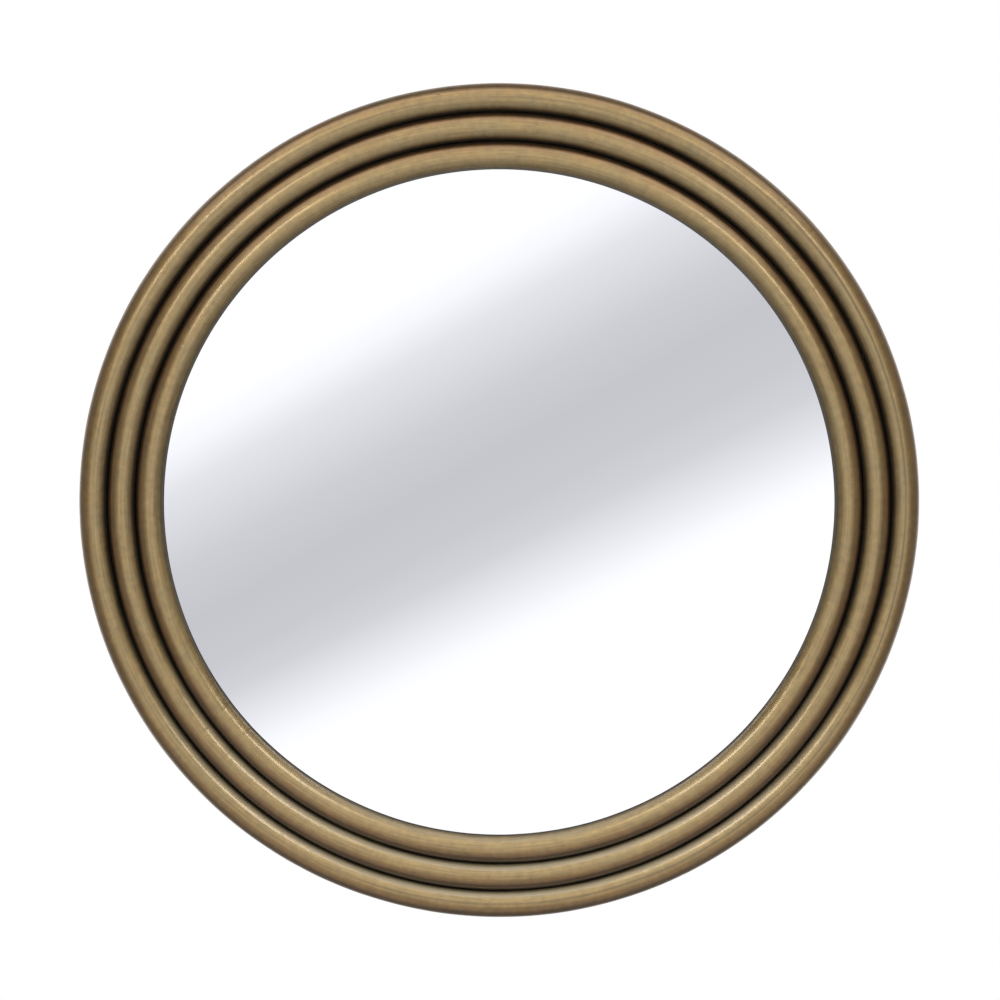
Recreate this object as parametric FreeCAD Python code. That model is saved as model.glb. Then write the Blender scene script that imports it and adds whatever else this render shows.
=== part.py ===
import FreeCAD, Part
import math
import os

from FreeCAD import Vector

# Round wall mirror. Its frame is three round tubes, each bent to a ring, nested and welded side by side.
# Millimetres. +X is the viewer's right, +Z is up and +Y points into the wall.
# The origin is the centre of the mirror on the wall plane, where the tips of the bumpers rest.

# Rings
outside_diameter = 762.0
tube_diameter = 25.4
tube_wall = 1.2
ring_gap = 0.1
vent_diameter = 4.0
vent_turn = 30.0
seam_angle = 86.0

# Layers from the rings and from the glass to the wall
lug_thickness = 6.0
glass_thickness = 4.0
tape_thickness = 1.0
carrier_thickness = 12.0
board_thickness = 9.0
bumper_height = 6.0

# Glass inside the inner ring, and what holds it
glass_play = 0.1
glass_arris = 0.3
carrier_inset = 4.5
gasket_depth = 5.0
gasket_play = 0.2
tape_width = 25.0
tape_pitch = 150.0
tape_margin = 30.0
tape_least_length = 300.0

# Backing board
board_inset = 14.0
board_chamfer = 1.5

# Fixing lugs across the backs of the rings
lug_count = 8
lug_width = 20.0
lug_overhang = 4.7
lug_corner = 3.0

# Weld beads
tack_count = 8
tack_radius = 3.2
tack_length = 9.0
tack_sink = 0.8
lug_bead_radius = 2.0
lug_bead_length = 5.0

# Machine screws that hold the board to the lugs
board_screw_diameter = 4.0
board_screw_length = 16.0
board_screw_head_diameter = 8.0
board_screw_head_height = 2.6
board_hole_play = 0.4
thread_play = 0.1

# Wood screws that hold the carrier of the glass to the board
carrier_screw_count = 6
carrier_screw_inset = 60.0
carrier_screw_diameter = 4.0
carrier_screw_length = 18.0
carrier_screw_head_diameter = 8.0
carrier_screw_head_height = 2.6

# Hangers on the back of the board
hanger_spacing = 406.4
hanger_rim_gap = 82.0
strap_width = 12.7
strap_thickness = 1.0
strap_first_screw = 28.0
strap_screw_pitch = 11.0
strap_end = 7.0
strap_hole_play = 0.5
eye_play = 0.1
eye_slit = 0.5
ring_wire_diameter = 3.0
ring_width = 24.0
ring_drop = 20.0
ring_corner_radius = 4.0
ring_rest_tilt = 2.0

# Wood screws that hold the hangers to the board
hanger_screw_diameter = 3.0
hanger_screw_length = 8.5
hanger_screw_head_diameter = 6.2
hanger_screw_head_height = 2.2
pilot_play = 0.1

# Rim and cross recess of every screw head
head_rim = 0.8
recess_width = 0.9
recess_reach = 0.6
recess_depth = 1.2

# Rubber bumpers
bumper_count = 4
bumper_base_diameter = 20.0
bumper_tip_diameter = 16.0
bumper_round = 1.0
bumper_inset = 27.0

# Radii that follow from the sizes above
tube_radius = tube_diameter / 2
ring_pitch = tube_diameter + ring_gap
outer_ring_radius = outside_diameter / 2 - tube_radius
middle_ring_radius = outer_ring_radius - ring_pitch
inner_ring_radius = middle_ring_radius - ring_pitch
outer_valley_radius = (outer_ring_radius + middle_ring_radius) / 2
inner_valley_radius = (middle_ring_radius + inner_ring_radius) / 2
glass_radius = inner_ring_radius - tube_radius - glass_play
carrier_radius = glass_radius - carrier_inset
carrier_screw_radius = carrier_radius - carrier_screw_inset
board_radius = outside_diameter / 2 - board_inset
bumper_radius = board_radius - bumper_inset

# Depths that follow from the layers
board_back = -bumper_height
board_front = board_back - board_thickness
carrier_front = board_front - carrier_thickness
glass_back = carrier_front - tape_thickness
glass_front = glass_back - glass_thickness
tube_back = board_front - lug_thickness
tube_axis = tube_back - tube_radius

# Hanger eyes, set in from the rim of the board
hanger_height = math.sqrt((board_radius - hanger_rim_gap) ** 2 - (hanger_spacing / 2) ** 2)
wire_radius = ring_wire_diameter / 2
eye_inner_radius = wire_radius + eye_play
eye_outer_radius = eye_inner_radius + strap_thickness
eye_depth = board_back + eye_outer_radius
strap_front = board_back
strap_back = board_back + strap_thickness

centre = Vector(0, 0, 0)
into_wall = Vector(0, 1, 0)
sideways = Vector(1, 0, 0)


def at_angle(shape, degrees):
    """Turn a shape about the mirror's centre, counter-clockwise from the viewer's right."""
    turned = shape.copy()
    turned.rotate(centre, into_wall, -degrees)
    return turned


def disc(radius, front, thickness):
    return Part.makeCylinder(radius, thickness, Vector(0, front, 0), into_wall)


def hole(x, z, diameter, start, end):
    """Round cutter along the depth, from start to end."""
    return Part.makeCylinder(diameter / 2, end - start, Vector(x, start, z), into_wall)


def rear_rim(shape):
    """The round edge of a shape that is nearest to the wall."""
    rims = [edge for edge in shape.Edges if edge.isClosed()]
    return [max(rims, key=lambda edge: edge.CenterOfMass.y)]


def even_angles(count, first):
    return [first + 360.0 * step / count for step in range(count)]


def bent_rod(ring_radius, radius):
    """Round bar bent to a closed ring, with its ends meeting at the seam angle."""
    section = Part.Wire(Part.makeCircle(radius, Vector(ring_radius, tube_axis, 0), Vector(0, 0, 1)))
    return at_angle(Part.Face(section).revolve(centre, into_wall, 360), seam_angle)


def outer_skin(ring_radius):
    """The outside of one tube, filled."""
    return bent_rod(ring_radius, tube_radius)


def ring_tube(ring_radius):
    """Hollow ring with one vent hole at the back of its lowest point, its own seam turned off the crown."""
    bore = bent_rod(ring_radius, tube_radius - tube_wall)
    vent = hole(0, -ring_radius, vent_diameter, tube_axis, tube_back + tube_wall)
    vent.rotate(Vector(0, tube_axis, -ring_radius), into_wall, vent_turn)
    return outer_skin(ring_radius).cut(bore).cut(vent)


def capsule(radius, length, middle, direction):
    """Round-ended bead."""
    half = direction * (length / 2)
    bead = Part.makeCylinder(radius, length, middle - half, direction)
    bead = bead.fuse(Part.makeSphere(radius, middle - half))
    return bead.fuse(Part.makeSphere(radius, middle + half))


def tack_welds():
    """Short beads in the two rear valleys, shaped to the tubes they join."""
    reach = tube_radius + tack_radius - tack_sink
    depth = tube_axis + math.sqrt(reach ** 2 - (ring_pitch / 2) ** 2)
    valleys = [
        (outer_valley_radius, outer_ring_radius, middle_ring_radius),
        (inner_valley_radius, middle_ring_radius, inner_ring_radius),
    ]
    beads = []
    for valley_radius, larger, smaller in valleys:
        bead = capsule(tack_radius, tack_length, Vector(valley_radius, depth, 0), Vector(0, 0, 1))
        bead = bead.cut(outer_skin(larger)).cut(outer_skin(smaller))
        beads += [at_angle(bead, angle) for angle in even_angles(tack_count, 0)]
    return Part.makeCompound(beads)


def fixing_lug():
    """Flat bar across the backs of the rings, with rounded corners and a threaded hole, at angle zero."""
    start = inner_ring_radius - lug_overhang
    length = outer_ring_radius + lug_overhang - start
    bar = Part.makeBox(length, lug_thickness, lug_width, Vector(start, tube_back, -lug_width / 2))
    corners = [edge for edge in bar.Edges if abs(edge.tangentAt(edge.FirstParameter).y) > 0.9]
    bar = bar.makeFillet(lug_corner, corners)
    thread = hole(outer_valley_radius, 0, board_screw_diameter + thread_play, tube_back, board_front)
    return bar.cut(thread)


def lug_welds(angles):
    """Beads along both sides of every lug, where it lies on the crown of a ring."""
    lug = fixing_lug()
    beads = []
    for ring_radius in (outer_ring_radius, middle_ring_radius, inner_ring_radius):
        for side in (-1, 1):
            middle = Vector(ring_radius, tube_back, side * lug_width / 2)
            bead = capsule(lug_bead_radius, lug_bead_length, middle, sideways)
            bead = bead.cut(lug).cut(outer_skin(ring_radius))
            beads += [at_angle(bead, angle) for angle in angles]
    return Part.makeCompound(beads)


def glazing_gasket():
    """Foam ring round the carrier, with a slanted face that lies against the inner ring and centres the glass."""
    slant = math.sqrt(0.5)
    touch_radius = inner_ring_radius - (tube_radius + gasket_play) * slant
    touch_depth = tube_axis + (tube_radius + gasket_play) * slant
    back = carrier_front + gasket_depth
    outline = [
        (carrier_radius, carrier_front),
        (touch_radius + carrier_front - touch_depth, carrier_front),
        (touch_radius + back - touch_depth, back),
        (carrier_radius, back),
        (carrier_radius, carrier_front),
    ]
    corners = [Vector(radius, depth, 0) for radius, depth in outline]
    return Part.Face(Part.makePolygon(corners)).revolve(centre, into_wall, 360)


def mirror_glass():
    """Round plate with a ground arris on both edges."""
    plate = disc(glass_radius, glass_front, glass_thickness)
    rims = [edge for edge in plate.Edges if edge.isClosed()]
    return plate.makeChamfer(glass_arris, rims)


def mirror_tape():
    """Upright strips, as many as fit, each as long as the round glass allows at its place."""
    strips = []
    reach = glass_radius - tape_margin
    spread = 2 * math.sqrt(reach ** 2 - (tape_least_length / 2) ** 2) - tape_width
    count = 1 + math.floor(spread / tape_pitch)
    for number in range(count):
        middle = (number - (count - 1) / 2) * tape_pitch
        far_side = abs(middle) + tape_width / 2
        half = math.sqrt(reach ** 2 - far_side ** 2)
        corner = Vector(middle - tape_width / 2, glass_back, -half)
        strips.append(Part.makeBox(tape_width, tape_thickness, 2 * half, corner))
    return Part.makeCompound(strips)


def glass_carrier(screw_angles):
    """Round plate behind the glass, with pilot holes for the screws that come through the board."""
    plate = disc(carrier_radius, carrier_front, carrier_thickness)
    depth = carrier_screw_length - board_thickness
    pilot = hole(
        carrier_screw_radius, 0, carrier_screw_diameter + pilot_play, board_front - depth, board_front
    )
    for angle in screw_angles:
        plate = plate.cut(at_angle(pilot, angle))
    return plate


def strap_screw_heights():
    """Heights of the screws of one strap."""
    first = hanger_height - strap_first_screw
    return [first, first - strap_screw_pitch]


def hanger_sides():
    return [-hanger_spacing / 2, hanger_spacing / 2]


def backing_board(lug_angles, carrier_angles):
    """Round board with a chamfered back edge, screw holes and pilot holes."""
    board = disc(board_radius, board_front, board_thickness)
    board = board.makeChamfer(board_chamfer, rear_rim(board))
    rows = [
        (outer_valley_radius, board_screw_diameter, lug_angles),
        (carrier_screw_radius, carrier_screw_diameter, carrier_angles),
    ]
    for radius, diameter, angles in rows:
        clearance = hole(radius, 0, diameter + board_hole_play, board_front, board_back)
        for angle in angles:
            board = board.cut(at_angle(clearance, angle))
    depth = hanger_screw_length - strap_thickness
    for x in hanger_sides():
        for z in strap_screw_heights():
            pilot = hole(x, z, hanger_screw_diameter + pilot_play, board_back - depth, board_back)
            board = board.cut(pilot)
    return board


def screw(seat, diameter, length, head_diameter, head_height):
    """Domed cross-recess screw. Its head stands on seat, and its shank points away from the wall."""
    shank = diameter / 2
    head = head_diameter / 2
    rise = head_height - head_rim
    dome = (head ** 2 + rise ** 2) / (2 * rise)
    half_turn = math.asin(head / dome) / 2
    crown = Part.Arc(
        Vector(head, head_rim, 0),
        Vector(dome * math.sin(half_turn), head_height - dome * (1 - math.cos(half_turn)), 0),
        Vector(0, head_height, 0),
    ).toShape()
    corners = [
        Vector(0, head_height, 0),
        Vector(0, -length, 0),
        Vector(shank, -length, 0),
        Vector(shank, 0, 0),
        Vector(head, 0, 0),
        Vector(head, head_rim, 0),
    ]
    outline = Part.Wire(Part.makePolygon(corners).Edges + [crown])
    body = Part.Face(outline).revolve(centre, into_wall, 360)
    span = head_diameter * recess_reach
    top = head_height - recess_depth
    for wide, tall in ((span, recess_width), (recess_width, span)):
        body = body.cut(Part.makeBox(wide, head_height, tall, Vector(-wide / 2, top, -tall / 2)))
    body.translate(seat)
    return body


def board_screws(angles):
    one = screw(
        Vector(outer_valley_radius, board_back, 0),
        board_screw_diameter,
        board_screw_length,
        board_screw_head_diameter,
        board_screw_head_height,
    )
    return Part.makeCompound([at_angle(one, angle) for angle in angles])


def carrier_screws(angles):
    one = screw(
        Vector(carrier_screw_radius, board_back, 0),
        carrier_screw_diameter,
        carrier_screw_length,
        carrier_screw_head_diameter,
        carrier_screw_head_height,
    )
    return Part.makeCompound([at_angle(one, angle) for angle in angles])


def hanger_screws():
    screws = []
    for x in hanger_sides():
        for z in strap_screw_heights():
            screws.append(
                screw(
                    Vector(x, strap_back, z),
                    hanger_screw_diameter,
                    hanger_screw_length,
                    hanger_screw_head_diameter,
                    hanger_screw_head_height,
                )
            )
    return Part.makeCompound(screws)


def hanger_strap(x):
    """Steel strip, flat on the board, with a round lower end and its upper end rolled to an eye."""
    left = x - strap_width / 2
    round_end = strap_width / 2
    tail_height = min(strap_screw_heights()) - strap_end + round_end
    flat_length = hanger_height - tail_height
    flat = Part.makeBox(strap_width, strap_thickness, flat_length, Vector(left, strap_front, tail_height))
    tail = Part.makeCylinder(round_end, strap_thickness, Vector(x, strap_front, tail_height), into_wall)
    eye_end = Vector(left, eye_depth, hanger_height)
    eye = Part.makeCylinder(eye_outer_radius, strap_width, eye_end, sideways)
    bore = Part.makeCylinder(eye_inner_radius, strap_width, eye_end, sideways)
    slit_corner = Vector(left, strap_back, hanger_height - eye_outer_radius)
    slit = Part.makeBox(strap_width, eye_slit, eye_outer_radius, slit_corner)
    strap = flat.fuse(tail).fuse(eye.cut(slit)).cut(bore).removeSplitter()
    for z in strap_screw_heights():
        strap = strap.cut(hole(x, z, hanger_screw_diameter + strap_hole_play, strap_front, strap_back))
    return strap


def hanger_ring(x):
    """D-shaped wire ring. Its straight bar lies in the eye, and it hangs down from there."""
    half = ring_width / 2
    bar = half - ring_corner_radius
    arc_height = half - ring_drop
    bend = ring_corner_radius * (1 - math.sqrt(0.5))

    def point(across, up):
        return Vector(x + across, eye_depth, hanger_height + up)

    path = Part.Wire(
        [
            Part.LineSegment(point(-bar, 0), point(bar, 0)).toShape(),
            Part.Arc(point(bar, 0), point(half - bend, -bend), point(half, -ring_corner_radius)).toShape(),
            Part.LineSegment(point(half, -ring_corner_radius), point(half, arc_height)).toShape(),
            Part.Arc(point(half, arc_height), point(0, -ring_drop), point(-half, arc_height)).toShape(),
            Part.LineSegment(point(-half, arc_height), point(-half, -ring_corner_radius)).toShape(),
            Part.Arc(point(-half, -ring_corner_radius), point(bend - half, -bend), point(-bar, 0)).toShape(),
        ]
    )
    section = Part.Wire(Part.makeCircle(wire_radius, point(-bar, 0), sideways))
    ring = path.makePipeShell([section], True, False)
    ring.rotate(Vector(x, eye_depth, hanger_height), sideways, ring_rest_tilt)
    return ring


def wall_bumper():
    """Tapered rubber foot with a rounded tip, at angle zero."""
    foot = Part.makeCone(
        bumper_base_diameter / 2,
        bumper_tip_diameter / 2,
        bumper_height,
        Vector(bumper_radius, board_back, 0),
        into_wall,
    )
    return foot.makeFillet(bumper_round, rear_rim(foot))


def main():
    lug_angles = even_angles(lug_count, 180.0 / lug_count)
    carrier_angles = even_angles(carrier_screw_count, 0)
    bumper_angles = even_angles(bumper_count, 180.0 / bumper_count)
    left, right = hanger_sides()
    nodes = {
        "outer_ring_tube": ring_tube(outer_ring_radius),
        "middle_ring_tube": ring_tube(middle_ring_radius),
        "inner_ring_tube": ring_tube(inner_ring_radius),
        "ring_tack_welds": tack_welds(),
        "lug_welds": lug_welds(lug_angles),
        "glazing_gasket": glazing_gasket(),
        "mirror_glass": mirror_glass(),
        "mirror_tape": mirror_tape(),
        "glass_carrier": glass_carrier(carrier_angles),
        "backing_board": backing_board(lug_angles, carrier_angles),
        "board_screws": board_screws(lug_angles),
        "carrier_screws": carrier_screws(carrier_angles),
        "hanger_strap_left": hanger_strap(left),
        "hanger_strap_right": hanger_strap(right),
        "hanger_ring_left": hanger_ring(left),
        "hanger_ring_right": hanger_ring(right),
        "hanger_screws": hanger_screws(),
    }
    for number, angle in enumerate(lug_angles, 1):
        nodes[f"fixing_lug_{number}"] = at_angle(fixing_lug(), angle)
    for number, angle in enumerate(bumper_angles, 1):
        nodes[f"wall_bumper_{number}"] = at_angle(wall_bumper(), angle)

    os.makedirs("parts", exist_ok=True)
    for name, shape in nodes.items():
        shape.exportStep(f"parts/{name}.step")
        print(f"{name}: {len(shape.Solids)} solids, {shape.Volume:.1f} mm3, valid {shape.isValid()}")


main()
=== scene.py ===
import math

import bpy
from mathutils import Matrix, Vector


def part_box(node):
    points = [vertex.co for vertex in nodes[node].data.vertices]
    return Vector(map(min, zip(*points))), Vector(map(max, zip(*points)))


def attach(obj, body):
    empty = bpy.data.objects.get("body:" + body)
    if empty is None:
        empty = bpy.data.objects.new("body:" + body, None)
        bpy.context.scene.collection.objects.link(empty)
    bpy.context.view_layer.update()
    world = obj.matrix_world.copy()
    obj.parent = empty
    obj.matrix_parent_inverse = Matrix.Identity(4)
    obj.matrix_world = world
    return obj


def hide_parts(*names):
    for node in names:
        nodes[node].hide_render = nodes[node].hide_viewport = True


# Looks of a round wall mirror with a frame of three bent tubes. Metres, in the same frame as the solids.

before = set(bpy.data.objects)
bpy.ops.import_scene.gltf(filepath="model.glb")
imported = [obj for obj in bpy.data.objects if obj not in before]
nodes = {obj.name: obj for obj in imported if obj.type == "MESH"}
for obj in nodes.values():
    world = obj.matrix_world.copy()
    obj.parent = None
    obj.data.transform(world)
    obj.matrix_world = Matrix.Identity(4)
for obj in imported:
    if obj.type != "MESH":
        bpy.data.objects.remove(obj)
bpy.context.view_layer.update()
scene = bpy.context.scene
scene.view_settings.view_transform = "Standard"

# Radius of the tube, and the other sizes of the rings from the frame
ring_names = ("outer", "middle", "inner")
tube_radius = 0.0127
outer_low, outer_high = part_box("outer_ring_tube")
tube_axis = (outer_low.y + outer_high.y) / 2
ring_radius = {}
for ring_name in ring_names:
    ring_low, ring_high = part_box(f"{ring_name}_ring_tube")
    ring_radius[ring_name] = (ring_high.x - ring_low.x) / 2 - tube_radius

# Camera, from the outline of the mirror in the photograph
camera_elevation = math.radians(6.8)
camera_distance = 2.7
camera_lens = 107.14
camera_aim = Vector((0.0007, tube_axis, 0.0062))

# Light: the level of the white world, and soft lamps with place, size, level and aim
world_level = 0.75
lamp_colour = (1.0, 0.98, 0.95)
lamps = {
    "lamp_left": ((-0.550, -0.850, 0.450), (0.40, 0.40), 5.6, (0.0, -1.02, 0.0)),
    "lamp_right": ((0.502, -0.700, 0.411), (0.35, 0.35), 5.1, (0.0, -0.90, 0.0)),
    "strip_lamp": ((0.0, -0.26, 0.80), (1.1, 0.14), 0.5, (0.0, -0.1, 0.0)),
}

# Floor: its height, half its width, its colours, and the distances between which it turns white
floor_height = -1.5
floor_half_width = 30.0
floor_colours = ((0.86, 0.86, 0.86), (0.88, 0.88, 0.88))
floor_fade = (1.4, 2.8)
white = (1.0, 1.0, 1.0)
black = (0.0, 0.0, 0.0)

# Roller marks that bending left across each tube, in pairs
roller_circumference = 0.354
roller_pair_gap = 0.031
mark_depth = 0.00010
mark_half_width = 0.0016
first_mark = {"outer": 128.7, "middle": 160.8, "inner": 155.25}

# Dressed butt weld of each ring, degrees counter-clockwise from the right
weld_angle = {"outer": 79.0, "middle": 84.6, "inner": 87.0}
weld_height = 0.00004
weld_half_width = 0.0018

# Drawn line along the outer tube: degrees outward from the crown, and how many more at the top and fewer at
# the bottom. Its depth swings about a mean share, a few times in one turn.
line_turn = -4.1
line_rise = 6.6
line_depth = 0.00002
line_half_width = 0.0011
line_mean = 0.6
line_swing = 0.4
line_swings = 5

# One nick in the outer tube: degrees counter-clockwise from the right, and outward from the crown
nick_angle = 98.3
nick_turn = 34.6
nick_depth = 0.0005
nick_half_width = 0.0008

# Slow waves that bending left along each tube: waves in one turn, height and start
bend_waves = [(9, 0.00005, 0.4), (23, 0.00004, 1.9), (61, 0.00002, 4.0)]

# Ground arris of the glass
arris = 0.00015

# Fineness of the meshes: steps along a tube, which grow with the distance from a mark, points round its
# section, closer turns in degrees to both sides of the line and the nick, and steps round the glass
coarse_step = 0.004
fine_step = 0.0006
fine_reach = 0.005
step_growth = 0.8
section_points = 64
fine_turn = 1.3
fine_turns = 9
glass_steps = 720

# Brass round the section of a tube: degrees from the crown, outward positive, and colour
crown_colours = [
    (-34.0, (0.342, 0.239, 0.091)),
    (-20.0, (0.352, 0.243, 0.090)),
    (0.0, (0.354, 0.241, 0.084)),
    (15.0, (0.350, 0.226, 0.072)),
    (30.0, (0.325, 0.190, 0.057)),
]
groove_flanks = {
    "in": [(-90.0, (0.026, 0.021, 0.015)), (-72.0, (0.038, 0.031, 0.020)), (-62.0, (0.070, 0.053, 0.029)),
           (-53.0, (0.146, 0.106, 0.051)), (-43.0, (0.262, 0.188, 0.082))],
    "out": [(40.0, (0.275, 0.148, 0.049)), (48.0, (0.175, 0.091, 0.030)), (57.0, (0.090, 0.048, 0.019)),
            (68.0, (0.042, 0.026, 0.014)), (90.0, (0.026, 0.020, 0.015))],
}
# The open inward flank of the inner ring is darker than the open outward flank of the outer ring: partly
# patina, partly painted shade
open_flanks = {
    "in": [(-90.0, (0.044, 0.031, 0.015)), (-76.0, (0.064, 0.045, 0.020)), (-60.0, (0.125, 0.088, 0.036)),
           (-48.0, (0.268, 0.186, 0.072))],
    "out": [(40.0, (0.320, 0.190, 0.070)), (48.0, (0.285, 0.170, 0.065)), (57.0, (0.245, 0.148, 0.060)),
            (72.0, (0.205, 0.128, 0.058)), (90.0, (0.155, 0.100, 0.048))],
}
rear_colours = [(120.0, (0.100, 0.070, 0.037)), (180.0, (0.150, 0.108, 0.055))]

# The crown of the outer ring is this much brighter outward of its top
outer_crown_gain = 1.06

# Painted light: on the lower half the burnished crown colours reach further up the flanks that face up, as if
# lit from above. Degrees at the lowest point
painted_light_rise = 19.0

# Most values of a noise lie between these two
noise_range = (0.3, 0.7)

# Patterns in the brass, in cells to the metre. The streaks have cells to the metre along the tube, and to one
# turn round it.
streak_cells = (18.0, 46.0, 1.0)
streak_shades = (-0.20, 0.22)
cloud_cells = 150.0
cloud_shades = (-0.15, 0.15)
cloud_rough = (-0.006, 0.010)
mean_shade = 1.03
tint_cells = 45.0
tint_colours = ((1.0, 0.95, 0.88), (0.94, 0.97, 1.0))
wander_cells = 34.0
wander_turns = (-0.008, 0.008)
grain_cells = 900.0

# Tarnish beside the weld: the distances over which it fades, and its share
tarnish_and_line_colour = (0.115, 0.075, 0.024)
weld_tarnish_fade = (0.0012, 0.0045)
weld_tarnish = 0.13

# Tarnish in specks: the noise values over which one appears, and its share
speck_cells = 300.0
speck_range = (0.67, 0.77)
speck_share = 0.45

# Darker colour along the drawn line: its reach as a share of a turn, its gaps, and its shares at left and
# right
line_darkening_reach = 0.022
line_gap_cells = (6.0, 1.0, 1.0)
line_gap_range = (0.35, 0.55)
line_gap_shares = (0.35, 0.8)
line_side_shares = (0.2, 1.0)

# Painted light from above: a pale dust-coloured film on the flanks that face up, in and beside the grooves.
# How far they face up for none and for all of it, and the level round the section. The open flank of the
# inner ring holds less.
dust_and_light_colour = (0.68, 0.59, 0.41)
groove_dust_and_light_facing = (0.25, 0.8)
open_dust_and_light_facing = (0.58, 0.8)
open_dust_and_light = 0.45
dust_and_light_least = 0.75
dust_and_light_levels = [(-75.0, 0.0), (-60.0, 0.5), (-50.0, 0.85), (-42.0, 0.6), (-32.0, 0.0)]

# Roughness round the section, and the share of bare metal; the rest is dull brown patina
metal_rough = [
    (-90.0, 0.7), (-60.0, 0.65), (-40.0, 0.45), (-20.0, 0.38), (20.0, 0.37), (45.0, 0.40), (90.0, 0.5)
]
metal_shares = [(-90.0, 0.3), (-75.0, 0.5), (-60.0, 1.0), (50.0, 1.0), (65.0, 0.5), (90.0, 0.3)]

# Lacquer round the section, worn thin on the flanks
coat_ior = 1.75
coat_rough = 0.22
coat_levels = [
    (-90.0, 0.1), (-72.0, 0.25), (-55.0, 0.8), (-40.0, 1.0), (48.0, 1.0), (65.0, 0.5), (90.0, 0.25)
]

# Colours of the other materials. Where there are several, they follow the noise that mottles the material.
back_brass_colours = ((0.10, 0.07, 0.035), (0.23, 0.17, 0.085))
silver_colour = (0.975, 0.98, 0.985)
arris_colour = (0.14, 0.16, 0.14)
glass_edge_colour = (0.25, 0.42, 0.36)
back_paint_colours = ((0.20, 0.21, 0.22), (0.26, 0.27, 0.28))
fibre_colours = ((0.022, 0.021, 0.020), (0.055, 0.052, 0.050))
board_cloud_colour = (0.060, 0.055, 0.050)
zinc_colours = ((0.40, 0.42, 0.44), (0.51, 0.51, 0.50), (0.56, 0.52, 0.45))
rubber_colours = ((0.030, 0.030, 0.031), (0.055, 0.055, 0.056))
carrier_colours = ((0.26, 0.18, 0.11), (0.36, 0.26, 0.17))
foam_colours = ((0.02, 0.02, 0.02), (0.04, 0.04, 0.04))
tape_colours = ((0.62, 0.60, 0.55), (0.74, 0.72, 0.68))

# Facing of the glass towards the wall where its looks change: front to arris, arris to edge, edge to back
front_facing = (-0.9, -0.8)
arris_facing = (-0.6, -0.3)
back_facing = (0.4, 0.6)
glass_edge_rough = 0.4

# Paler clouds on the backing board: the noise values over which one appears, and its share
board_cloud_range = (0.4, 0.7)
board_cloud_shares = (0.0, 0.5)

# Roughness of the soft materials varies this much to both sides
soft_rough_reach = 0.08

# Soft grey band that the mirror shows from corner to corner: its turn and centre on the card, and the level
# at each distance across it. Below its middle it widens to the right of band_spread_from, and narrows to the
# left of it.
band_turn = 29.2
band_centre = (0.0, -0.463)
band_spread = 0.059
band_spread_from = -0.18
band_spread_reach = -0.35
band_levels = [
    (-0.44, 1.0),
    (-0.40, 0.97),
    (-0.31, 0.81),
    (-0.22, 0.65),
    (-0.13, 0.59),
    (0.0, 0.565),
    (0.14, 0.62),
    (0.32, 0.78),
    (0.41, 0.94),
    (0.48, 1.0),
]
band_tint = (0.985, 0.993, 1.045)
band_card_level = 1.03
band_card_depth = -5.0
band_card_half_width = 1.3
band_card_heights = (-1.75, 0.45)

# Cards round the mirror that only reflections show: their reach in depth, and the level at each depth from
# front to back. A card's colour holds each level as a share of full_level.
card_depth = (-3.2, 0.6)
full_level = 1.5
side_card_away = 1.3
left_levels = [(-3.2, 1.0), (-2.2, 0.7), (-1.4, 0.45), (-0.8, 0.27), (0.6, 0.27)]
right_levels = [(-3.2, 0.9), (-2.2, 0.58), (-1.4, 0.40), (-0.8, 0.27), (0.6, 0.3)]
top_card_height = 1.05
top_levels = [
    (-3.2, 1.02), (-1.3, 1.02), (-0.85, 1.1), (-0.6, 1.15), (-0.4, 1.0), (-0.27, 0.75),
    (-0.15, 0.45), (-0.03, 0.22), (0.6, 0.22),
]
low_card_height = -1.2
low_levels = [(-3.2, 0.68), (-1.6, 0.59), (-0.8, 0.49), (-0.5, 0.41), (-0.13, 0.23), (0.0, 0.2), (0.6, 0.2)]


def around_at(degrees):
    """Place round the section in the ring map, from 0 to 1, of an angle from the crown."""
    return 0.5 + degrees / 360.0


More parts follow.
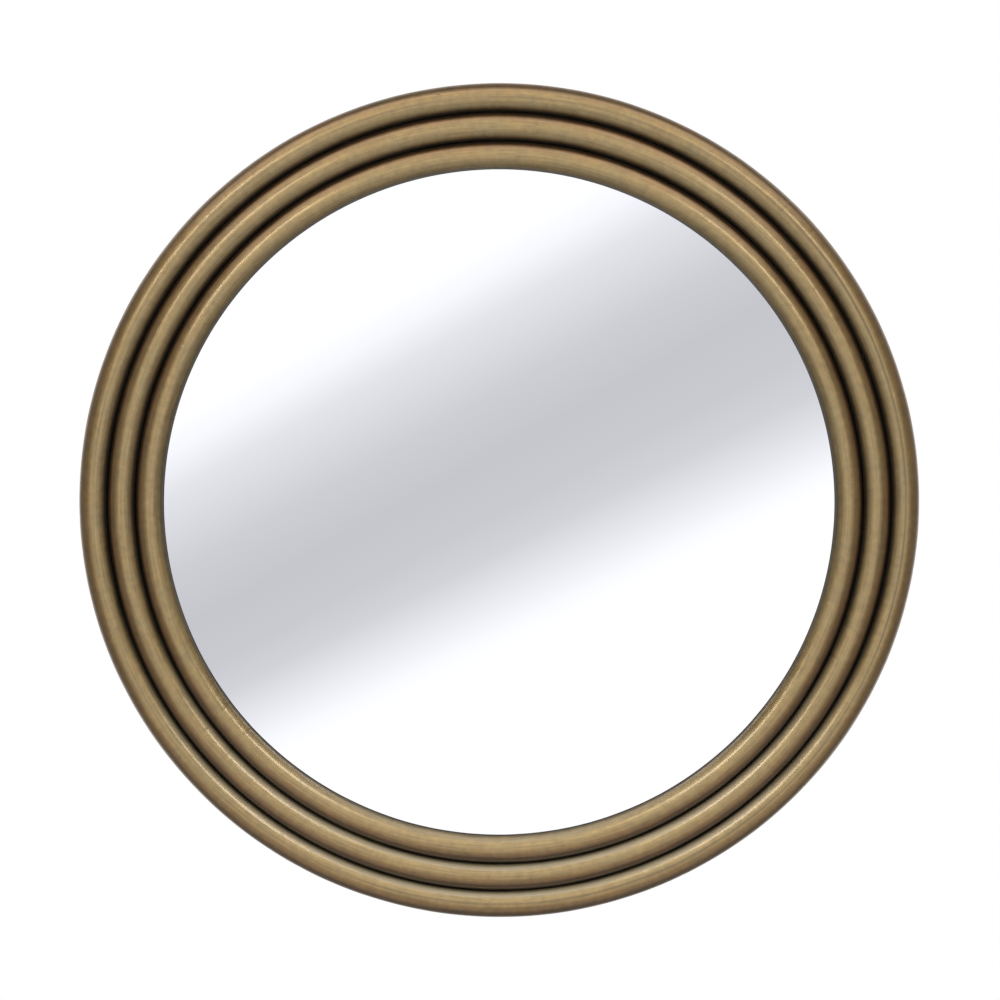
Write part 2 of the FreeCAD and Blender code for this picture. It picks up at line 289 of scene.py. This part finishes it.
class Tree:
    """Short ways to add shader nodes to one material or to the world."""

    def __init__(self, name="", owner=None):
        self.material = owner or bpy.data.materials.new(name)
        self.material.use_nodes = True
        self.nodes = self.material.node_tree.nodes
        self.links = self.material.node_tree.links
        self.shader = self.nodes.get("Principled BSDF")

    def add(self, kind, **settings):
        node = self.nodes.new(kind)
        for key, value in settings.items():
            setattr(node, key, value)
        return node

    def feed(self, socket, value):
        if isinstance(value, bpy.types.NodeSocket):
            self.links.new(value, socket)
        else:
            socket.default_value = value

    def set(self, name, value):
        self.feed(self.shader.inputs[name], value)

    def place(self):
        return self.add("ShaderNodeTexCoord").outputs["Object"]

    def facing(self):
        return self.split(self.add("ShaderNodeTexCoord").outputs["Normal"])

    def ring_map(self):
        return self.add("ShaderNodeUVMap", uv_map="ring").outputs["UV"]

    def stretch(self, vector, scale):
        node = self.add("ShaderNodeMapping")
        self.feed(node.inputs["Vector"], vector)
        node.inputs["Scale"].default_value = scale
        return node.outputs["Vector"]

    def split(self, vector):
        node = self.add("ShaderNodeSeparateXYZ")
        self.feed(node.inputs["Vector"], vector)
        return node.outputs

    def noise(self, vector, scale, detail=3.0, roughness=0.55):
        node = self.add("ShaderNodeTexNoise")
        self.feed(node.inputs["Vector"], vector)
        node.inputs["Scale"].default_value = scale
        node.inputs["Detail"].default_value = detail
        node.inputs["Roughness"].default_value = roughness
        return node.outputs["Fac"]

    def math(self, operation, first, second=0.0):
        node = self.add("ShaderNodeMath", operation=operation)
        self.feed(node.inputs[0], first)
        self.feed(node.inputs[1], second)
        return node.outputs["Value"]

    def span(self, value, low, high, new_low=0.0, new_high=1.0):
        node = self.add("ShaderNodeMapRange")
        self.feed(node.inputs["Value"], value)
        node.inputs["From Min"].default_value = low
        node.inputs["From Max"].default_value = high
        node.inputs["To Min"].default_value = new_low
        node.inputs["To Max"].default_value = new_high
        return node.outputs["Result"]

    def vary(self, noise, low, high):
        """Value that follows a noise from low to high."""
        return self.span(noise, *noise_range, low, high)

    def ramp(self, value, stops):
        node = self.add("ShaderNodeValToRGB")
        elements = node.color_ramp.elements
        while len(elements) < len(stops):
            elements.new(0.5)
        for element, (position, colour) in zip(elements, stops):
            element.position = position
            element.color = (*colour, 1.0)
        self.feed(node.inputs["Fac"], value)
        return node.outputs["Color"]

    def blend(self, noise, colours, places=noise_range):
        """Colour that follows a noise, with each colour at one of its values."""
        return self.ramp(noise, list(zip(places, colours)))

    def levels(self, around, stops):
        """Level at each turn round the section of a tube."""
        return self.ramp(around, [(around_at(turn), (level,) * 3) for turn, level in stops])

    def mix(self, factor, first, second, blend="MIX"):
        node = self.add("ShaderNodeMix", data_type="RGBA", blend_type=blend)
        self.feed(node.inputs["Factor"], factor)
        sockets = [socket for socket in node.inputs if socket.type == "RGBA"]
        for socket, value in zip(sockets, (first, second)):
            self.feed(socket, value if isinstance(value, bpy.types.NodeSocket) else (*value, 1.0))
        return next(socket for socket in node.outputs if socket.type == "RGBA")

    def bump(self, height, strength, distance):
        node = self.add("ShaderNodeBump")
        self.feed(node.inputs["Height"], height)
        node.inputs["Strength"].default_value = strength
        node.inputs["Distance"].default_value = distance
        self.feed(self.shader.inputs["Normal"], node.outputs["Normal"])


def section_stops(name):
    """Colours round the section of one ring. A flank next to another ring is blacker than an open one."""
    inward = (open_flanks if name == "inner" else groove_flanks)["in"]
    outward = (open_flanks if name == "outer" else groove_flanks)["out"]
    rear = [(-angle, colour) for angle, colour in reversed(rear_colours)]
    crown = []
    for angle, colour in crown_colours:
        crown_gain = outer_crown_gain if name == "outer" and angle > 0.0 else 1.0
        crown.append((angle, tuple(part * crown_gain for part in colour)))
    degrees = rear + inward + crown + outward + rear_colours
    return [(around_at(angle), colour) for angle, colour in degrees]


def patina_colour(tree, name, place, around, streaks, clouds):
    """Colour of one ring before its tarnish, darker line and dust-coloured painted light, with painted light
    from above on its lower half.
    """
    wander = tree.vary(tree.noise(place, wander_cells, detail=4.0), *wander_turns)
    # Painted light: on the lower half the colours round the section shift, so the flanks that face up are
    # lighter
    low = tree.span(tree.split(place)["Z"], -ring_radius[name], 0.0, painted_light_rise / 360.0, 0.0)
    wander_and_light_around = tree.math("ADD", around, tree.math("ADD", wander, low))
    colour = tree.ramp(wander_and_light_around, section_stops(name))
    tint = tree.blend(tree.noise(place, tint_cells), tint_colours)
    shade = tree.math("ADD", tree.vary(streaks, *streak_shades), tree.vary(clouds, *cloud_shades))
    shade = tree.math("ADD", shade, mean_shade)
    return tree.mix(1.0, tree.mix(1.0, colour, tint, "MULTIPLY"), shade, "MULTIPLY")


def line_darkening(tree, place, ring, around):
    """Share of the darker colour along the drawn line of the outer ring, with gaps, and more of it to the
    right.
    """
    radius = ring_radius["outer"]
    x, _, z = tree.split(place)
    rise = line_rise / 360.0 / radius
    line_at = tree.math("ADD", tree.math("MULTIPLY", z, rise), around_at(line_turn))
    from_line = tree.math("ABSOLUTE", tree.math("SUBTRACT", around, line_at))
    near = tree.span(from_line, 0.0, line_darkening_reach, 1.0, 0.0)
    gaps = tree.noise(tree.stretch(ring, line_gap_cells), scale=1.0, detail=2.0)
    broken = tree.span(gaps, *line_gap_range, *line_gap_shares)
    deep = tree.span(x, -radius, radius, *line_side_shares)
    return tree.math("MULTIPLY", near, tree.math("MULTIPLY", broken, deep))


def dust_and_light_share(tree, name, around, streaks):
    """Share of the pale dust-coloured film of painted light on one ring."""
    most = open_dust_and_light if name == "inner" else 1.0
    facing = open_dust_and_light_facing if name == "inner" else groove_dust_and_light_facing
    facing_up = tree.span(tree.facing()["Z"], *facing)
    dust_and_light = tree.math("MULTIPLY", tree.levels(around, dust_and_light_levels), facing_up)
    return tree.math("MULTIPLY", dust_and_light, tree.vary(streaks, dust_and_light_least * most, most))


def brass_material(name):
    """Antiqued brass under lacquer: burnished along the crown, brown on the flanks, black in the grooves."""
    tree = Tree(f"antique_brass_{name}")
    place = tree.place()
    ring = tree.ring_map()
    along, around, _ = tree.split(ring)
    streaks = tree.noise(tree.stretch(ring, streak_cells), scale=1.0, detail=4.0, roughness=0.65)
    clouds = tree.noise(place, cloud_cells, detail=4.0)
    colour = patina_colour(tree, name, place, around, streaks, clouds)
    length = 2 * math.pi * ring_radius[name]
    from_weld = tree.math("MINIMUM", along, tree.math("SUBTRACT", length, along))
    tarnish_and_line = tree.span(from_weld, *weld_tarnish_fade, weld_tarnish, 0.0)
    if name == "outer":
        tarnish_and_line = tree.math("MAXIMUM", tarnish_and_line, line_darkening(tree, place, ring, around))
    specks = tree.span(tree.noise(place, speck_cells, detail=2.0), *speck_range, 0.0, speck_share)
    colour = tree.mix(tree.math("MAXIMUM", tarnish_and_line, specks), colour, tarnish_and_line_colour)
    # Painted light: a pale dust-coloured film lightens the flanks that face up, as light from above would
    dust_and_light = dust_and_light_share(tree, name, around, streaks)
    tree.set("Base Color", tree.mix(dust_and_light, colour, dust_and_light_colour))
    bare = tree.math("SUBTRACT", 1.0, dust_and_light)
    tree.set("Metallic", tree.math("MULTIPLY", tree.levels(around, metal_shares), bare))
    rough = tree.math("ADD", tree.levels(around, metal_rough), tree.vary(clouds, *cloud_rough))
    tree.set("Roughness", rough)
    tree.set("Coat Weight", tree.levels(around, coat_levels))
    tree.set("Coat IOR", coat_ior)
    tree.set("Coat Roughness", coat_rough)
    tree.bump(tree.noise(place, grain_cells), strength=0.015, distance=0.0004)
    return tree.material


def back_brass_material():
    """The same finish on the lugs and welds at the back, duller and uneven."""
    tree = Tree("antique_brass_back")
    place = tree.place()
    blotches = tree.noise(place, scale=120.0, detail=4.0)
    tree.set("Base Color", tree.blend(blotches, back_brass_colours))
    tree.set("Metallic", 1.0)
    tree.set("Roughness", tree.vary(blotches, low=0.55, high=0.4))
    tree.bump(tree.noise(place, scale=700.0, detail=4.0), strength=0.25, distance=0.0005)
    return tree.material


def mirror_material():
    """Silvered glass: a clear mirror in front, a green ground edge and grey paint on the back."""
    tree = Tree("silvered_glass")
    facing = tree.facing()["Y"]
    paint = tree.blend(tree.noise(tree.place(), scale=260.0, detail=4.0), back_paint_colours)
    ground = tree.mix(tree.span(facing, *arris_facing), arris_colour, glass_edge_colour)
    edge = tree.mix(tree.span(facing, *back_facing), ground, paint)
    front = tree.span(facing, *front_facing, 1.0, 0.0)
    tree.set("Base Color", tree.mix(front, edge, silver_colour))
    tree.set("Metallic", front)
    tree.set("Roughness", tree.math("MULTIPLY", tree.math("SUBTRACT", 1.0, front), glass_edge_rough))
    return tree.material


def board_material():
    """Fibreboard sprayed matte black, with the pressed fibres just showing."""
    tree = Tree("black_fibreboard")
    place = tree.place()
    fibres = tree.noise(tree.stretch(place, (1.0, 1.0, 3.0)), scale=320.0, detail=5.0, roughness=0.7)
    cloud = tree.span(tree.noise(place, scale=9.0), *board_cloud_range, *board_cloud_shares)
    colour = tree.blend(fibres, fibre_colours, places=(0.3, 0.72))
    tree.set("Base Color", tree.mix(cloud, colour, board_cloud_colour))
    tree.set("Roughness", tree.vary(fibres, low=0.62, high=0.82))
    tree.bump(fibres, strength=0.35, distance=0.0004)
    return tree.material


def zinc_material():
    """Zinc-plated steel with a faint cloudy passivation."""
    tree = Tree("zinc_plated_steel")
    place = tree.place()
    cloud = tree.noise(place, scale=180.0, detail=4.0)
    tree.set("Base Color", tree.blend(cloud, zinc_colours, places=(0.3, 0.52, 0.72)))
    tree.set("Metallic", 1.0)
    tree.set("Roughness", tree.vary(cloud, low=0.26, high=0.42))
    tree.bump(tree.noise(place, scale=2600.0, detail=2.0), strength=0.08, distance=0.0002)
    return tree.material


def soft_material(name, colours, scale, roughness):
    """Foam, tape, rubber or raw board, with a grain of its own."""
    tree = Tree(name)
    grain = tree.noise(tree.place(), scale, detail=4.0, roughness=0.65)
    tree.set("Base Color", tree.blend(grain, colours))
    tree.set("Roughness", tree.vary(grain, roughness - soft_rough_reach, roughness + soft_rough_reach))
    tree.bump(grain, strength=0.3, distance=0.0003)
    return tree.material


def mark_angles(name):
    """Angles of one ring's roller marks: pairs, one roller turn apart, from the first to the weld."""
    radius = ring_radius[name]
    turn = roller_circumference / radius
    half_gap = roller_pair_gap / 2 / radius
    first = math.radians(first_mark[name])
    weld = math.radians(weld_angle[name])
    last = first + (weld - first) % (2 * math.pi)
    angles = []
    middle = first
    while middle + half_gap < last:
        angles += [middle - half_gap, middle + half_gap]
        middle += turn
    return angles


def ring_angles(radius, marks, start):
    """Angles round one ring, closer together near its marks and its weld, from start to one turn on."""
    full = 2 * math.pi
    stops = [0.0, full] + [(mark - start) % full for mark in marks]
    angles = []
    angle = 0.0
    while angle < full - fine_step / radius:
        angles.append(start + angle)
        near = min(abs(angle - stop) * radius for stop in stops) - fine_reach
        angle += min(coarse_step, max(fine_step, near * step_growth)) / radius
    return angles


def section_turns(name):
    """Angles round the section of one tube from the crown, closer together at the line and the nick."""
    turns = {2 * math.pi * step / section_points - math.pi for step in range(section_points)}
    if name == "outer":
        for middle in (line_turn, nick_turn):
            steps = range(-fine_turns, fine_turns + 1)
            turns |= {math.radians(middle + step * fine_turn) for step in steps}
    return sorted(turns)


def hump(distance, half_width):
    return math.exp(-((distance / half_width) ** 2))


def arc(first, second, radius):
    """Distance along a circle from one angle to another, the short way."""
    return ((second - first + math.pi) % (2 * math.pi) - math.pi) * radius


def ring_sink(name, marks, angle):
    """How far the whole section of one ring lies in at one angle: waves and roller marks, less the weld."""
    radius = ring_radius[name]
    sink = sum(height * (1 - math.cos(count * angle + start)) for count, height, start in bend_waves)
    sink += sum(mark_depth * hump(arc(mark, angle, radius), mark_half_width) for mark in marks)
    return sink - weld_height * hump(arc(math.radians(weld_angle[name]), angle, radius), weld_half_width)


def outer_sink(angle, turn):
    """How far the drawn line and the nick of the outer ring lie in at one place."""
    line_at = math.radians(line_turn + line_rise * math.sin(angle))
    depth = line_depth * (line_mean + line_swing * math.sin(line_swings * angle))
    line = depth * hump(arc(line_at, turn, tube_radius), line_half_width)
    along = arc(math.radians(nick_angle), angle, ring_radius["outer"])
    across = arc(math.radians(nick_turn), turn, tube_radius)
    return line + nick_depth * hump(math.hypot(along, across), nick_half_width)


def ring_points(name, marks, angles, turns):
    """Points of one bent tube: at each angle round the ring, one at each turn round the section."""
    points = []
    for angle in angles:
        sink = ring_sink(name, marks, angle)
        for turn in turns:
            reach = tube_radius - sink
            if name == "outer":
                reach -= outer_sink(angle, turn)
            distance = ring_radius[name] + reach * math.sin(turn)
            depth = tube_axis - reach * math.cos(turn)
            points.append((distance * math.cos(angle), depth, distance * math.sin(angle)))
    return points


def ring_faces(lengths, heights):
    """Faces of one bent tube, and their ring map: lengths along the tube and heights round its section."""
    rows = len(lengths) - 1
    columns = len(heights) - 1
    faces = []
    maps = []
    for row in range(rows):
        this_row = row * columns
        next_row = (row + 1) % rows * columns
        for column in range(columns):
            beyond = (column + 1) % columns
            faces.append((this_row + column, next_row + column, next_row + beyond, this_row + beyond))
            near, far = lengths[row], lengths[row + 1]
            low, high = heights[column], heights[column + 1]
            maps += [near, low, far, low, far, high, near, high]
    return faces, maps


def mesh_object(name, points, faces, material):
    """New object in the scene, made of points and faces."""
    mesh = bpy.data.meshes.new(name)
    mesh.from_pydata(points, [], faces)
    mesh.materials.append(material)
    thing = bpy.data.objects.new(name, mesh)
    scene.collection.objects.link(thing)
    return thing


def ring_piece(name):
    """One bent tube, finely meshed, with the marks of its making."""
    radius = ring_radius[name]
    marks = mark_angles(name)
    start = math.radians(weld_angle[name])
    nicks = [math.radians(nick_angle)] if name == "outer" else []
    angles = ring_angles(radius, marks + nicks, start)
    turns = section_turns(name)
    lengths = [(angle - start) * radius for angle in angles] + [2 * math.pi * radius]
    heights = [0.5 + turn / (2 * math.pi) for turn in turns] + [1.0]
    faces, maps = ring_faces(lengths, heights)
    points = ring_points(name, marks, angles, turns)
    piece = mesh_object(f"{name}_ring", points, faces, brass_material(name))
    piece.data.uv_layers.new(name="ring").data.foreach_set("uv", maps)
    piece.data.shade_smooth()
    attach(piece, "frame")
    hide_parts(f"{name}_ring_tube")


def glass_piece():
    """The glass, finely meshed: its front, a ground arris, its edge and its painted back."""
    glass_low, glass_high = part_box("mirror_glass")
    radius = (glass_high.x - glass_low.x) / 2
    rims = [
        (radius - arris, glass_low.y),
        (radius, glass_low.y + arris),
        (radius, glass_high.y - arris),
        (radius - arris, glass_high.y),
    ]
    steps = glass_steps
    points = []
    for reach, y in rims:
        for step in range(steps):
            angle = 2 * math.pi * step / steps
            points.append((reach * math.cos(angle), y, reach * math.sin(angle)))
    faces = [tuple(range(steps)), tuple(range(4 * steps - 1, 3 * steps - 1, -1))]
    for rim in range(3):
        here, there = rim * steps, (rim + 1) * steps
        for step in range(steps):
            beyond = (step + 1) % steps
            faces.append((here + beyond, here + step, there + step, there + beyond))
    piece = mesh_object("silvered_mirror", points, faces, mirror_material())
    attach(piece, "frame")
    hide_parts("mirror_glass")


def dress(node, material):
    """Give a solid from the frame a better material."""
    mesh = nodes[node].data
    mesh.materials.clear()
    mesh.materials.append(material)


def make_camera():
    data = bpy.data.cameras.new("camera")
    data.lens = camera_lens
    camera = bpy.data.objects.new("camera", data)
    back = Vector((0.0, -math.cos(camera_elevation), math.sin(camera_elevation)))
    camera.location = camera_aim + back * camera_distance
    camera.rotation_mode = "QUATERNION"
    camera.rotation_quaternion = (-back).to_track_quat("-Z", "Y")
    scene.collection.objects.link(camera)
    scene.camera = camera


def make_lamp(name, place, size, level, aim):
    """Soft lamp, as bright as level times white."""
    data = bpy.data.lights.new(name, "AREA")
    data.shape = "RECTANGLE"
    data.size, data.size_y = size
    data.energy = level * math.pi * size[0] * size[1]
    data.color = lamp_colour
    lamp = bpy.data.objects.new(name, data)
    lamp.location = place
    lamp.rotation_mode = "QUATERNION"
    lamp.rotation_quaternion = (Vector(aim) - Vector(place)).to_track_quat("-Z", "Y")
    lamp.visible_camera = False
    scene.collection.objects.link(lamp)


def surrounding_level(tree):
    """Full white for what the camera sees, straight, in a reflection or through glass, and less as light."""
    path = tree.add("ShaderNodeLightPath").outputs
    seen = tree.math("MAXIMUM", path["Is Camera Ray"], path["Is Glossy Ray"])
    seen = tree.math("MAXIMUM", seen, path["Is Transmission Ray"])
    return tree.span(seen, 0.0, 1.0, world_level, 1.0)


def make_world():
    """White all round."""
    scene.world = bpy.data.worlds.new("studio")
    tree = Tree(owner=scene.world)
    background = tree.nodes["Background"]
    background.inputs["Color"].default_value = (*white, 1.0)
    tree.feed(background.inputs["Strength"], surrounding_level(tree))


def stage_plane(name, corners, material):
    plane = mesh_object(name, corners, [tuple(range(len(corners)))], material)
    return plane


def make_floor():
    """Pale floor well below the mirror that keeps its shadow, and turns white like the world further out."""
    tree = Tree("pale_floor")
    place = tree.place()
    pale = tree.blend(tree.noise(place, scale=3.0, detail=4.0), floor_colours)
    distance = tree.add("ShaderNodeVectorMath", operation="LENGTH")
    tree.feed(distance.inputs[0], tree.stretch(place, (1.0, 1.0, 0.0)))
    far = tree.span(distance.outputs["Value"], *floor_fade)
    tree.set("Base Color", tree.mix(far, pale, black))
    tree.set("Roughness", 0.9)
    tree.set("Specular IOR Level", 0.0)
    tree.set("Emission Color", (*white, 1.0))
    tree.set("Emission Strength", tree.math("MULTIPLY", far, surrounding_level(tree)))
    half = floor_half_width
    z = floor_height
    corners = [(-half, -half, z), (half, -half, z), (half, half, z), (-half, half, z)]
    stage_plane("floor", corners, tree.material)


def glow_card(name, corners, tree, colour, level):
    """Card that only reflections show."""
    tree.nodes.remove(tree.shader)
    glow = tree.add("ShaderNodeEmission")
    tree.feed(glow.inputs["Color"], colour)
    glow.inputs["Strength"].default_value = level
    tree.feed(tree.nodes["Material Output"].inputs["Surface"], glow.outputs["Emission"])
    card = stage_plane(name, corners, tree.material)
    card.visible_camera = False
    card.visible_diffuse = False
    card.visible_shadow = False


def make_card(name, levels, edges):
    """Card along one side of the mirror, from front to back. Edges give the x and z of its two long edges."""
    tree = Tree(name)
    near, far = card_depth
    stops = [((y - near) / (far - near), (level / full_level,) * 3) for y, level in levels]
    colour = tree.ramp(tree.span(tree.split(tree.place())["Y"], near, far), stops)
    (x1, z1), (x2, z2) = edges
    corners = [(x1, near, z1), (x1, far, z1), (x2, far, z2), (x2, near, z2)]
    glow_card(name, corners, tree, colour, full_level)


def make_band_card():
    """Card behind the camera, white with a soft grey band across, for the mirror to show."""
    tree = Tree("band_card")
    x, _, z = tree.split(tree.place())
    across = tree.math("SUBTRACT", x, band_centre[0])
    up = tree.math("SUBTRACT", z, band_centre[1])
    turn = math.radians(band_turn)
    rise = tree.math("MULTIPLY", across, math.sin(turn))
    away = tree.math("SUBTRACT", tree.math("MULTIPLY", up, math.cos(turn)), rise)
    below = tree.span(away, band_spread_reach, 0.0, band_spread, 0.0)
    spread = tree.math("MULTIPLY", below, tree.math("SUBTRACT", x, band_spread_from))
    away = tree.math("ADD", away, spread)
    stops = []
    for distance, level in band_levels:
        grey = tuple(min(1.0, level * part) for part in band_tint)
        stops.append((0.5 + distance, grey if level < 1.0 else white))
    colour = tree.ramp(tree.math("ADD", away, 0.5), stops)
    half = band_card_half_width
    y = band_card_depth
    low, high = band_card_heights
    corners = [(-half, y, low), (half, y, low), (half, y, high), (-half, y, high)]
    glow_card("band_card", corners, tree, colour, band_card_level)


make_camera()
make_world()
make_floor()
make_band_card()
for side, away, levels in (("left", -side_card_away, left_levels), ("right", side_card_away, right_levels)):
    make_card(f"{side}_card", levels, ((away, low_card_height), (away, top_card_height)))
for side, height, levels in (("top", top_card_height, top_levels), ("low", low_card_height, low_levels)):
    make_card(f"{side}_card", levels, ((-side_card_away, height), (side_card_away, height)))
for lamp_name, settings in lamps.items():
    make_lamp(lamp_name, *settings)

for ring_name in ring_names:
    ring_piece(ring_name)

back_brass = back_brass_material()
zinc = zinc_material()
rubber = soft_material("bumper_rubber", rubber_colours, scale=500.0, roughness=0.6)
for node in nodes:
    if node.startswith("fixing_lug") or node.endswith("welds"):
        dress(node, back_brass)
    elif node.startswith("hanger") or node.endswith("screws"):
        dress(node, zinc)
    elif node.startswith("wall_bumper"):
        dress(node, rubber)
glass_piece()
dress("backing_board", board_material())
dress("glass_carrier", soft_material("raw_fibreboard", carrier_colours, scale=600.0, roughness=0.75))
dress("glazing_gasket", soft_material("gasket_foam", foam_colours, scale=900.0, roughness=0.85))
dress("mirror_tape", soft_material("mounting_tape", tape_colours, scale=700.0, roughness=0.8))
